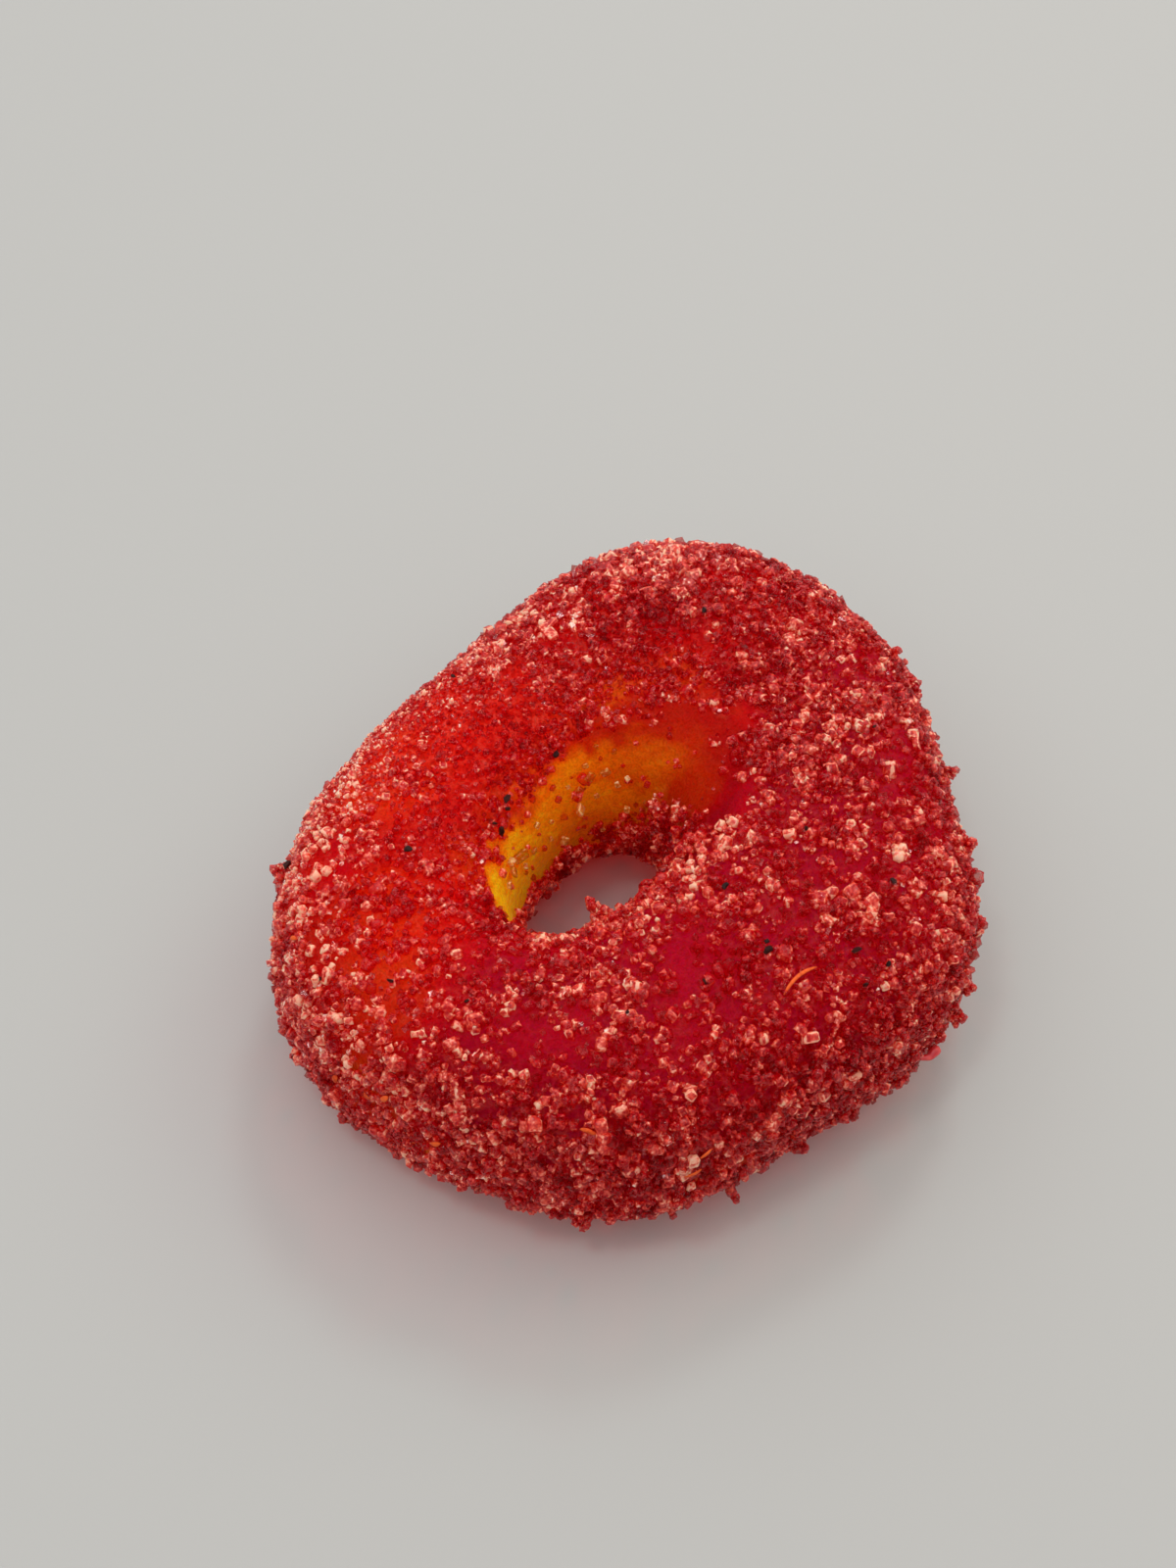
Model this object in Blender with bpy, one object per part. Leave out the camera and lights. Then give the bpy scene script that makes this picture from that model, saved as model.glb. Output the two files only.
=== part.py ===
# A sugar-coated peach ring: one soft ring of fruit jelly, squashed a little out of round, lying flat.
# Metres, +Z up. The ring stands on Z = 0 with its bounding box centred on the Z axis,
# and the long way of its hole lies along X. Sizes are over the sugar coat.

import math

import bpy
from mathutils import Matrix, Vector

MM = 0.001

# The outer edge seen from above is a circle with soft waves added: how many lobes a wave makes,
# how far they stand out, and the wave's phase.
OUTER_RADIUS = 16.85 * MM
LOBES = (
    (2, 1.4 * MM, math.radians(3)),
    (3, 0.9 * MM, math.radians(87)),
    (4, 0.4 * MM, math.radians(118)),
    (5, 0.2 * MM, math.radians(16)),
    (6, 0.2 * MM, math.radians(-103)),
)

# The hole, where it is narrowest, is an ellipse off the ring's centre, pinched in at its +X end.
HOLE_HALF_LENGTH = 5.3 * MM
HOLE_HALF_WIDTH = 2.6 * MM
HOLE_CENTRE = Vector((-1.6, 1.05)) * MM
HOLE_PINCH = 0.3
HOLE_PINCH_NARROWNESS = 6

# The crest is higher at the +X end, and has one shallow wave on each diagonal.
CREST_HEIGHT = 12.2 * MM
CREST_SLOPE = 0.6 * MM
CREST_WAVE = 0.2 * MM

# The section is an ellipse made squarer, flattened where it rests, with its top leaning towards +X.
SQUARENESS = 2.44
FLATTENED_BY = 0.5 * MM
LEAN = 0.055

STEPS_ROUND_RING = 96
STEPS_ROUND_SECTION = 36

JELLY_COLOUR = (0.58, 0.03, 0.02, 1.0)
JELLY_ROUGHNESS = 0.45


def outer_edge(turn):
    radius = OUTER_RADIUS
    for count, height, phase in LOBES:
        radius += height * math.cos(count * turn - phase)
    return radius * Vector((math.cos(turn), math.sin(turn)))


def hole_edge(turn):
    # An ellipse in polar form: half length times half width over the length of the crossed pair.
    across = math.hypot(HOLE_HALF_WIDTH * math.cos(turn), HOLE_HALF_LENGTH * math.sin(turn))
    radius = HOLE_HALF_LENGTH * HOLE_HALF_WIDTH / across
    radius *= 1 - HOLE_PINCH * max(math.cos(turn), 0) ** HOLE_PINCH_NARROWNESS
    return HOLE_CENTRE + radius * Vector((math.cos(turn), math.sin(turn)))


def crest_height(turn):
    return CREST_HEIGHT + CREST_SLOPE * math.cos(turn) + CREST_WAVE * math.sin(2 * turn)


def squared(value):
    # A circle's sine or cosine raised to 2 / SQUARENESS, with its sign kept, gives a squarer round.
    return math.copysign(abs(value) ** (2 / SQUARENESS), value)


def skin_point(turn, roll):
    # turn goes round the ring, roll goes round its section from the outer side over the top.
    outer = outer_edge(turn)
    inner = hole_edge(turn)
    flat = (outer + inner) / 2 + (outer - inner) / 2 * squared(math.cos(roll))
    full_height = crest_height(turn) + FLATTENED_BY
    height = max(full_height * (1 + squared(math.sin(roll))) / 2 - FLATTENED_BY, 0.0)
    return Vector((flat.x + LEAN * (height - CREST_HEIGHT / 2), flat.y, height))


def shape_ring(mesh, torus_radius):
    # Each corner of the plain torus keeps its two angles and moves to the same angles on the skin.
    for corner in mesh.vertices:
        turn = math.atan2(corner.co.y, corner.co.x)
        roll = math.atan2(corner.co.z, math.hypot(corner.co.x, corner.co.y) - torus_radius)
        corner.co = skin_point(turn, roll)


def centre_on_origin(mesh):
    # The bounding box's bottom centre goes to the origin.
    xs = [corner.co.x for corner in mesh.vertices]
    ys = [corner.co.y for corner in mesh.vertices]
    zs = [corner.co.z for corner in mesh.vertices]
    middle = Vector(((min(xs) + max(xs)) / 2, (min(ys) + max(ys)) / 2, min(zs)))
    mesh.transform(Matrix.Translation(-middle))


def make_jelly():
    jelly = bpy.data.materials.new("sugared_jelly")
    jelly.use_nodes = True
    surface = jelly.node_tree.nodes["Principled BSDF"]
    surface.inputs["Base Color"].default_value = JELLY_COLOUR
    surface.inputs["Roughness"].default_value = JELLY_ROUGHNESS
    surface.inputs["Metallic"].default_value = 0.0
    jelly.diffuse_color = JELLY_COLOUR
    return jelly


def make_ring():
    tube_radius = CREST_HEIGHT / 2
    torus_radius = OUTER_RADIUS - tube_radius
    bpy.ops.mesh.primitive_torus_add(
        major_segments=STEPS_ROUND_RING,
        minor_segments=STEPS_ROUND_SECTION,
        major_radius=torus_radius,
        minor_radius=tube_radius,
    )
    ring = bpy.context.object
    ring.name = "gummy_ring"
    ring.data.name = "gummy_ring"
    shape_ring(ring.data, torus_radius)
    centre_on_origin(ring.data)
    ring.data.shade_smooth()
    ring.data.materials.append(make_jelly())
    return ring


def clear_scene():
    for thing in list(bpy.data.objects):
        bpy.data.objects.remove(thing, do_unlink=True)


def gather(things, name):
    group = bpy.data.collections.new(name)
    bpy.context.scene.collection.children.link(group)
    for thing in things:
        for old_group in list(thing.users_collection):
            old_group.objects.unlink(thing)
        group.objects.link(thing)


clear_scene()
gather([make_ring()], "peach_ring")
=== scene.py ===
import math

import bmesh
import bpy
import numpy as np
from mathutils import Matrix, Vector
from mathutils.kdtree import KDTree


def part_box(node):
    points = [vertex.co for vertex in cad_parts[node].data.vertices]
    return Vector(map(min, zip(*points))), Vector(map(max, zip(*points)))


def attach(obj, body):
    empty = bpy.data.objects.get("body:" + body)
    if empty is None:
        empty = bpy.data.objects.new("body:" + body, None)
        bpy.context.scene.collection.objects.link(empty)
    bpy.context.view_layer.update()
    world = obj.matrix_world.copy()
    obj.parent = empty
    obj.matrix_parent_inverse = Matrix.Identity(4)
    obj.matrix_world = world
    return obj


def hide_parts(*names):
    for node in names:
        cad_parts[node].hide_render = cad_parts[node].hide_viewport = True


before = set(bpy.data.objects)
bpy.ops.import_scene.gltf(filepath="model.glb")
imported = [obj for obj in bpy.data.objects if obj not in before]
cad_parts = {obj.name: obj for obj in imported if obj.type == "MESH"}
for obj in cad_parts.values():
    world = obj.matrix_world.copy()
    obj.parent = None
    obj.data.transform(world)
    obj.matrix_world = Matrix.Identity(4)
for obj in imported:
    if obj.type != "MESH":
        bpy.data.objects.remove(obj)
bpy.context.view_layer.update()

# A gummy peach ring in a coat of coarse red sugar: soft jelly with a yellow heart that blushes red, four
# sizes of sugar grain, heaps and large crystals that stand out, clear crystals on the bare yellow wall of the
# hole, dark spice specks, orange flakes and a drip of syrup.

mm = 0.001

# Sizes in mm, over the sugar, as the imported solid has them. Angles in degrees.
ringShape = {
    "outerRadius": 16.85,
    "lobes": [(2, 1.4, 3), (3, 0.9, 87), (4, 0.4, 118), (5, 0.2, 16), (6, 0.2, -103)],  # count, height, phase
    "holeHalfLength": 5.3,
    "holeHalfWidth": 2.6,
    "holeCentre": (-1.6, 1.05),
    "holePinch": 0.3,
    "holePinchNarrowness": 6,
    "crestHeight": 12.2,
    "crestSlope": 0.6,
    "crestWave": 0.2,
    "squareness": 2.44,
    "flattenedBy": 0.5,
    "lean": 0.055,
}


def squared(value):
    # a sine or cosine raised to 2 / squareness with its sign kept, which makes a circle squarer
    return np.sign(value) * np.abs(value) ** (2 / ringShape["squareness"])


def rawSkin(turn, roll):
    # turn goes round the ring and roll round its section, from the outer side over the top.
    # The section is a squared ellipse between the lobed outer edge and the oval, pinched hole. Its height
    # follows the crest, what would lie under the table is pressed flat, and the top leans towards +X.
    shape = ringShape
    radius = shape["outerRadius"]
    for count, height, phase in shape["lobes"]:
        radius = radius + height * np.cos(count * turn - math.radians(phase))
    length, width = shape["holeHalfLength"], shape["holeHalfWidth"]
    holeRadius = length * width / np.hypot(width * np.cos(turn), length * np.sin(turn))
    pinched = np.maximum(np.cos(turn), 0) ** shape["holePinchNarrowness"]
    holeRadius = holeRadius * (1 - shape["holePinch"] * pinched)
    outer = np.stack([radius * np.cos(turn), radius * np.sin(turn)], -1)
    inner = np.stack([holeRadius * np.cos(turn), holeRadius * np.sin(turn)], -1) + shape["holeCentre"]
    flat = (outer + inner) / 2 + (outer - inner) / 2 * squared(np.cos(roll))[..., None]
    crest = shape["crestHeight"] + shape["crestSlope"] * np.cos(turn) + shape["crestWave"] * np.sin(2 * turn)
    height = (crest + shape["flattenedBy"]) * (1 + squared(np.sin(roll))) / 2 - shape["flattenedBy"]
    height = np.maximum(height, 0)
    leaning = flat[..., 0] + shape["lean"] * (height - shape["crestHeight"] / 2)
    return np.stack([leaning, flat[..., 1], height], -1)


def placeShift():
    # how far the formula's box must move, in mm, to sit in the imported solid's box
    turns, rolls = np.linspace(0, 2 * np.pi, 721), np.linspace(0, 2 * np.pi, 361)
    turn, roll = np.meshgrid(turns, rolls, indexing="ij")
    points = rawSkin(turn, roll).reshape(-1, 3)
    low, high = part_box("gummy_ring")
    wanted = (np.array(low) + np.array(high)) / 2 / mm
    shift = wanted - (points.min(0) + points.max(0)) / 2
    return np.array([shift[0], shift[1], low[2] / mm])


skinShift = placeShift()


def coatSkin(turn, roll):
    # the skin over the sugar, in mm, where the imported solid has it
    return rawSkin(turn, roll) + skinShift


def outward(turn, roll):
    # the cross product of the skin's two directions, at unit length
    step = 1e-3
    along = coatSkin(turn + step, roll) - coatSkin(turn - step, roll)
    across = coatSkin(turn, roll + step) - coatSkin(turn, roll - step)
    normal = np.cross(along, across)
    return normal / (np.linalg.norm(normal, axis=-1, keepdims=True) + 1e-12)


def unit(vectors):
    # the same directions at length 1
    return vectors / np.linalg.norm(vectors, axis=-1, keepdims=True)


def waves(points, wavelength, seed, count=28):
    # a sum of cosine waves in random directions and phases, about -1 to 1: smooth lumps of one size
    rng = np.random.default_rng(seed)
    directions = unit(rng.normal(size=(count, 3)))
    lengths = wavelength * rng.uniform(0.7, 1.4, count)
    phases = rng.uniform(0, 2 * np.pi, count)
    angles = points @ (directions / lengths[:, None]).T * 2 * np.pi + phases
    return np.cos(angles).sum(-1) / math.sqrt(count) * 0.8


def withWaves(value, points, rows):
    # each row, of wavelength in mm, height and seed, adds waves of that height to the value
    for wavelength, height, seed in rows:
        value = value + height * waves(points, wavelength, seed)
    return value


def smooth(value, low, high):
    # 0 below low, 1 above high, and an S curve between
    part = np.clip((value - low) / (high - low), 0, 1)
    return part * part * (3 - 2 * part)


def ringSpot(turnDegrees, rollDegrees):
    # a place on the coat's skin from its two angles in degrees
    return coatSkin(np.radians(turnDegrees), np.radians(rollDegrees))


def placeShares(points, places, core):
    # for each place (turn, roll, radius in mm, value): 1 within core * radius of it, 0 beyond its radius, and
    # an S curve between, together with the place's value
    for turnDegrees, rollDegrees, radius, value in places:
        distance = np.linalg.norm(points - ringSpot(turnDegrees, rollDegrees), axis=-1)
        yield 1 - smooth(distance, radius * core, radius), value


def byTurn(table, turn, column=1):
    # a table's value at each turn, straight between its rows, whose first number is the turn in degrees
    rows = np.array(table, float)
    return np.interp(np.degrees(turn), rows[:, 0], rows[:, column], period=360)


def linear(hexColour):
    # sRGB hex to linear colour: v / 12.92 for dark values, else ((v + 0.055) / 1.055) ^ 2.4
    values = np.array([int(hexColour[i:i + 2], 16) / 255 for i in (1, 3, 5)])
    straight = np.where(values <= 0.04045, values / 12.92, ((values + 0.055) / 1.055) ** 2.4)
    return (*[float(v) for v in straight], 1.0)


def addNode(tree, kind, settings):
    # kind is Blender's name for it after ShaderNode. Settings go by an input's name or number, or by a
    # property's name. A node among them is linked from its first output, and an output as it is.
    node = tree.nodes.new("ShaderNode" + kind)
    for name, value in settings.items():
        if isinstance(value, bpy.types.Node):
            value = value.outputs[0]
        if isinstance(value, bpy.types.NodeSocket):
            tree.links.new(value, node.inputs[name])
        elif name == "stops":  # a colour ramp's list of (position, hex colour)
            while len(node.color_ramp.elements) < len(value):
                node.color_ramp.elements.new(0.5)
            for stop, (position, colour) in zip(node.color_ramp.elements, value):
                stop.position, stop.color = position, linear(colour)
        elif isinstance(name, int) or name in node.inputs:
            node.inputs[name].default_value = value
        else:
            setattr(node, name, value)
    return node


def newMaterial(name):
    # an empty material and its tree
    material = bpy.data.materials.new(name)
    material.use_nodes = True
    material.node_tree.nodes.clear()
    return material, material.node_tree


def lampsThrough(tree, surface, colour):
    # lamps shine through the piece and come out tinted, so its shadow is red and not black
    tinted = addNode(tree, "BsdfTransparent", {"Color": linear(colour)})
    isShadow = addNode(tree, "LightPath", {}).outputs["Is Shadow Ray"]
    return addNode(tree, "MixShader", {0: isShadow, 1: surface, 2: tinted})


def newObject(name, data):
    # an object that is in the scene
    thing = bpy.data.objects.new(name, data)
    bpy.context.scene.collection.objects.link(thing)
    return thing


def meshFromFaces(name, points, corners, totals, smoothFaces, attributes):
    # Points in mm. corners are the faces' point numbers in one row, and totals how many each face takes.
    # An attribute with a value for each point goes on the points, any other on the faces.
    mesh = bpy.data.meshes.new(name)
    mesh.vertices.add(len(points))
    mesh.vertices.foreach_set("co", (points * mm).astype(np.float32).ravel())
    mesh.loops.add(len(corners))
    mesh.loops.foreach_set("vertex_index", corners.astype(np.int32))
    mesh.polygons.add(len(totals))
    mesh.polygons.foreach_set("loop_start", (np.cumsum(totals) - totals).astype(np.int32))
    mesh.polygons.foreach_set("loop_total", totals.astype(np.int32))
    mesh.polygons.foreach_set("use_smooth", np.full(len(totals), smoothFaces))
    for key, values in attributes.items():
        domain = "POINT" if len(values) == len(points) else "FACE"
        mesh.attributes.new(key, "FLOAT", domain).data.foreach_set("value", values.astype(np.float32))
    mesh.update(calc_edges=True)
    mesh.validate()
    return newObject(name, mesh)


jelly = {
    "turnSteps": 480,
    "rollSteps": 160,
    "underCoat": 0.22,  # mm from the coat's mean level in to the jelly
    "lumps": [(5, 0.09, 21), (1.3, 0.025, 22)],  # wavelength and height in mm, seed
    "ragged": [(2.2, 4, 11), (0.8, 4, 12)],  # wavelength in mm, height in degrees of roll, seed
    "upperFade": (-3, 5),  # degrees of roll from the band's upper edge over which the sugar ends
    "lowerFade": (-5, 4),  # and from its lower edge over which it begins again
}

# where the wall of the hole is bare of sugar: turn, and the roll where the bare band begins and ends
bareWall = [
    (-62, 121, 126), (-42, 119, 139), (-28, 111, 152), (-14, 107, 161), (5, 114, 172), (25, 127, 181),
    (50, 132, 188), (78, 131, 188), (100, 136, 188), (123, 139, 188), (145, 134, 183), (160, 134, 180),
    (175, 148, 184), (200, 165, 190), (230, 165, 185), (270, 160, 175),
]


def bandEdges(turn):
    # the rolls in degrees where the bare band begins and ends
    return byTurn(bareWall, turn, 1), byTurn(bareWall, turn, 2)


def raggedRoll(roll, points):
    # roll in degrees with waves added, so that what follows it gets a ragged edge
    return withWaves(np.degrees(roll) % 360, points, jelly["ragged"])


def bareness(turn, roll, points):
    # 1 in the middle of the hole's bare wall, 0 outside it
    first, last = bandEdges(turn)
    degrees = raggedRoll(roll, points)
    begins = smooth(degrees, first + jelly["upperFade"][0], first + jelly["upperFade"][1])
    ends = smooth(degrees, last + jelly["lowerFade"][0], last + jelly["lowerFade"][1])
    return begins * (1 - ends)


def jellySkin(turn, roll):
    # the coat's skin moved in, and in or out by waves of two lengths
    points = coatSkin(turn, roll)
    normal = outward(turn, roll)
    depth = withWaves(-jelly["underCoat"], points, jelly["lumps"])
    return points + normal * depth[..., None], normal


# how red the hole's bare wall is at each turn: 0 is yellow, 1 deep red
wallBlush = [
    (-60, 0.85), (-45, 0.72), (-34, 0.6), (-20, 0.5), (-8, 0.46), (8, 0.42), (25, 0.35), (50, 0.26),
    (100, 0.14), (155, 0.03), (200, 0.1), (250, 0.35), (280, 0.8),
]

# places outside the hole where orange shows through: turn, roll, radius in mm, and how much less red
warmPlaces = [
    (233, 352, 3, 0.45), (250, 345, 2.5, 0.4), (186, 350, 2.6, 0.45), (176, 10, 3.2, 0.3),
    (120, 78, 4, 0.15), (155, 85, 3, 0.2), (170, 66, 3.6, 0.2), (35, 122, 2.6, 0.3),
    (15, 112, 2.2, 0.25), (60, 126, 2.4, 0.2), (90, 130, 2.4, 0.15), (120, 132, 2.4, 0.15),
    (150, 126, 2.4, 0.2), (354, 119, 2.6, 0.3), (330, 124, 2.2, 0.3), (316, 130, 2, 0.25),
]

blushing = {
    "rightEnd": (5, 55),  # degrees of turn over which the +X end of the wall gives way to the rest
    "upperRed": (0.34, -0.08),  # how much redder the wall's upper edge is, and what that end adds
    "upperDepth": (14, 20),  # degrees of roll that this red reaches down, and what that end adds
    "reddest": 0.9,
    "deepYellow": (0.08, 155, 170),  # less red deep in the hole, over these rolls
    "farSide": (0.25, -3, 5),  # less red on the far side, over these Y in mm
    "lowDown": (0.15, 3, 8),  # less red low down, over these heights in mm
    "aboveWall": 8,  # degrees of roll above the bare band over which the wall's colour begins
    "belowWall": (195, 235),  # rolls over which it ends
    "clouds": [(4, 0.05, 31)],  # wavelength in mm, share, seed
}


def peachBlush(turn, roll, points):
    # The wall of the hole is yellow, redder to its +X end and to its upper edge.
    # Outside it the far side is orange-red and the near side crimson.
    first, _ = bandEdges(turn)
    degrees = raggedRoll(roll, points)
    rightEnd = 1 - smooth((np.degrees(turn) + 180) % 360 - 180, *blushing["rightEnd"])
    red, moreRed = blushing["upperRed"]
    depth, moreDepth = blushing["upperDepth"]
    upper = 1 - smooth(degrees, first - 2, first + depth + moreDepth * rightEnd)
    wall = np.minimum(byTurn(wallBlush, turn) + (red + moreRed * rightEnd) * upper, blushing["reddest"])
    less, low, high = blushing["deepYellow"]
    wall = wall - less * smooth(degrees, low, high)
    less, low, high = blushing["farSide"]
    outside = 1 - less * smooth(points[..., 1], low, high)
    less, low, high = blushing["lowDown"]
    outside = outside - less * (1 - smooth(points[..., 2], low, high))
    for share, less in placeShares(points, warmPlaces, 0.4):
        outside = outside - less * share
    inHole = smooth(degrees, first - blushing["aboveWall"], first)
    inHole = inHole * (1 - smooth(degrees, *blushing["belowWall"]))
    return withWaves(outside + (wall - outside) * inHole, points, blushing["clouds"]).clip(0, 1)


# how much sugar is left at thin places: turn, roll, radius in mm, and the share that is left
thinSugar = [
    (242, 93, 2.8, 0.3), (198, 75, 2.1, 0.2), (210, 72, 1.8, 0.4), (322, 54, 2.4, 0.25),
    (344, 58, 2, 0.4), (8, 116, 1.8, 0.4), (350, 106, 1.3, 0.3), (16, 98, 3, 0.6), (346, 78, 2.4, 0.6),
    (318, 68, 2.2, 0.5), (232, 80, 2.4, 0.5), (178, 8, 2.6, 0.55),
]


def toNear(points):
    # mm towards the near side, along the diagonal to the -X -Y corner
    return -(0.766 * points[..., 0] + 0.643 * points[..., 1])


coat = {
    "offWall": 0.98,  # how much of it the bare wall lacks
    "patches": [(2.6, 0.35, 41)],  # wavelength in mm, how much the sugar's thickness varies, seed
    "nearPatches": [(1.5, 0.35, 42)],  # what the near side adds to that
    "usual": 0.85,
    "bounds": (0.15, 1.5),
    "nearCrest": 0.2,  # how much thinner it is on top of the near side
    "underneath": 0.25,  # how much of it is left where the ring rests
}


def sugarCover(turn, roll, points, normal):
    # how thick the sugar lies: none on the bare wall, little where it was rubbed off, patchy elsewhere,
    # thickest on the outer slopes, and pressed thin where the ring rests
    cover = 1 - coat["offWall"] * bareness(turn, roll, points)
    thickness = withWaves(coat["usual"], points, coat["patches"])
    thickness = thickness + smooth(toNear(points), -6, 2) * withWaves(0, points, coat["nearPatches"])
    cover = cover * thickness.clip(*coat["bounds"])
    onTop = smooth(toNear(points), -4, 4) * smooth(normal[..., 2], 0.5, 0.9)
    cover = cover * (1 - coat["nearCrest"] * onTop)
    left = coat["underneath"]
    cover = cover * (left + (1 - left) * smooth(normal[..., 2], -0.98, -0.6))
    for share, left in placeShares(points, thinSugar, 0.35):
        cover = cover * (1 - (1 - left) * share)
    return cover


# how much painted shade darkens the deep of the hole's wall at each turn
wallPaintedShade = [
    (-60, 0.5), (-45, 0.6), (-20, 0.5), (4, 0.34), (24, 0.2), (50, 0.15), (110, 0.1), (155, 0), (250, 0),
]


def paintedHoleShade(turn, roll):
    # 0 outside the hole; inside it, the wall's painted shade at each turn
    first, _ = bandEdges(turn)
    degrees = np.degrees(roll) % 360
    inHole = smooth(degrees, first - 4, first + 8) * (1 - smooth(degrees, 185, 215))
    return inHole * byTurn(wallPaintedShade, turn)


# painted glow, where light would come through thin jelly, orange-red: turn, roll, radius in mm, and how
# strongly
paintedGlowPlaces = [(98, 92, 5.5, 0.5), (120, 85, 4.5, 0.5), (158, 91, 4.5, 0.5), (75, 100, 4, 0.5)]


def glow(points):
    # the strongest of the painted glow places' shares
    total = 0
    for share, strength in placeShares(points, paintedGlowPlaces, 0.3):
        total = np.maximum(total, strength * share)
    return total


def nearCrest(points, normal):
    # 1 on top of the near side, 0 on the far side and the slopes
    return smooth(toNear(points), -6, 2) * smooth(normal[..., 2], 0.3, 0.8)


def filmShare(points, normal):
    # how much of the sugar is half-melted film: least on the near crest
    return 1 - 0.55 * nearCrest(points, normal)


def makeJelly():
    # a closed skin: even steps of turn and of roll, joined into four-sided faces
    turns = np.linspace(0, 2 * np.pi, jelly["turnSteps"], endpoint=False)
    rolls = np.linspace(0, 2 * np.pi, jelly["rollSteps"], endpoint=False)
    turn, roll = np.meshgrid(turns, rolls, indexing="ij")
    points, normal = jellySkin(turn, roll)
    number = np.arange(turn.size).reshape(turn.shape)
    nextTurn, nextRoll = np.roll(number, -1, 0), np.roll(number, -1, 1)
    both = np.roll(nextTurn, -1, 1)
    faces = np.stack([number, nextTurn, both, nextRoll], -1).reshape(-1, 4)
    cover = sugarCover(turn, roll, points, normal) * filmShare(points, normal)
    attributes = {
        "blush": peachBlush(turn, roll, points).ravel(),
        # painted glow where light would come through thin jelly
        "glow": glow(points).ravel(),
        # painted shade deep in the hole's wall
        "deep": paintedHoleShade(turn, roll).ravel(),
        "coat": cover.clip(0, 1).ravel(),
    }
    totals = np.full(len(faces), 4)
    return meshFromFaces("jellyRing", points.reshape(-1, 3), faces.ravel(), totals, True, attributes)


def jellyMaterial():
    # gelatine jelly set in a starch mould: wet-looking but soft, light wanders through it before it leaves.
    # Under the loose grains is a film of half-melted sugar, which breaks the red up into small pale cells.
    # Their edges also carry painted highlight, and their middles painted shade between the grains.
    material, tree = newMaterial("fruitJelly")
    place = addNode(tree, "TexCoord", {}).outputs["Object"]
    blush, paintedGlow, deep, coated = [
        addNode(tree, "Attribute", {"attribute_name": name}).outputs["Fac"]
        for name in ("blush", "glow", "deep", "coat")]
    # the flesh runs from yellow through orange to crimson, clouded over 2.4 mm
    cloud = addNode(tree, "TexNoise", {"Scale": 0.42 / mm, "Detail": 3, "Vector": place})
    clouds = addNode(tree, "Math", {"operation": "MULTIPLY_ADD", 0: cloud, 1: 0.16, 2: -0.08})
    red = addNode(tree, "Math", {"operation": "ADD", 0: blush, 1: clouds})
    flesh = addNode(tree, "ValToRGB", {"Fac": red, "stops": [
        (0, "#FFB010"), (0.25, "#FC7C06"), (0.5, "#D42C02"), (0.75, "#C40008"), (1, "#A8001C")]})
    # the film's cells are 0.4 mm across, broken up by a finer noise
    cells = addNode(tree, "TexVoronoi", {"Scale": 2.5 / mm, "Vector": place}).outputs["Distance"]
    speckle = addNode(tree, "TexNoise", {"Scale": 4.2 / mm, "Detail": 1, "Vector": place})
    outwards = addNode(tree, "Math", {"operation": "MULTIPLY", 0: cells, 1: speckle})
    edges = addNode(tree, "MapRange", {
        "From Min": 0.2, "From Max": 0.42, "To Min": 0, "To Max": 0.2, "Value": outwards})
    paintedShadeMiddles = addNode(tree, "MapRange", {
        "From Min": 0.05, "From Max": 0.3, "To Min": 0.6, "To Max": 0, "Value": outwards})
    # pale: sugar film and painted highlight at the cell edges; dark: painted shade in the cell middles,
    # between the grains
    pale, dark = [
        addNode(tree, "Math", {"operation": "MULTIPLY", 0: part, 1: coated})
        for part in (edges, paintedShadeMiddles)]
    # light and dark flecks of sugar dust, 0.1 mm
    grit = addNode(tree, "TexNoise", {"Scale": 9 / mm, "Detail": 1, "Vector": place})
    dust = addNode(tree, "ValToRGB", {"Fac": grit, "stops": [
        (0.3, "#D4C8C0"), (0.5, "#F0F0F0"), (0.7, "#FFFFFF")]})
    # what goes on the flesh, lowest first: covering or tinting, its share and its colour
    layers = [
        # painted glow: orange-red where light would come through thin jelly
        ("MIX", paintedGlow, linear("#E41802")),
        # painted shade: darker deep in the hole
        ("MULTIPLY", deep, linear("#B0A0A0")),
        # sugar film and painted highlight at the cells' edges
        ("MIX", pale, linear("#F07860")),
        # painted shade in the cells' middles, between the grains
        ("MULTIPLY", dark, linear("#A02028")),
        ("MULTIPLY", 0.8, dust),
    ]
    colour = flesh
    for kind, share, over in layers:
        colour = addNode(tree, "Mix", {
            "data_type": "RGBA", "blend_type": kind, 0: share, 6: colour, 7: over}).outputs[2]
    height = addNode(tree, "Math", {"operation": "MULTIPLY_ADD", 0: grit, 1: 0.5, 2: cells})
    bump = addNode(tree, "Bump", {"Strength": 0.6, "Distance": 0.2 * mm, "Height": height})
    surface = addNode(tree, "BsdfPrincipled", {
        "Base Color": colour, "Normal": bump, "Roughness": 0.42, "IOR": 1.45, "Specular IOR Level": 0.03,
        "Subsurface Weight": 1.0, "Subsurface Scale": 12 * mm, "Subsurface Radius": (1.0, 0.08, 0.03)})
    addNode(tree, "OutputMaterial", {"Surface": lampsThrough(tree, surface, "#F83820")})
    return material


def crystalTemplate(points):
    # the convex body of the points, with its flat faces whole
    body = bmesh.new()
    for point in points:
        body.verts.new(point)
    bmesh.ops.convex_hull(body, input=body.verts)
    bmesh.ops.dissolve_limit(body, angle_limit=0.01, verts=body.verts, edges=body.edges)
    bmesh.ops.recalc_face_normals(body, faces=body.faces)
    body.verts.index_update()
    corners = np.array([vertex.co for vertex in body.verts])
    faces = [[vertex.index for vertex in face.verts] for face in body.faces]
    body.free()
    return corners, faces


def signed(*points):
    # the points, with every choice of signs
    signs = [(a, b, c) for a in (1, -1) for b in (1, -1) for c in (1, -1)]
    return sorted({(a * x, b * y, c * z) for x, y, z in points for a, b, c in signs})


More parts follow.
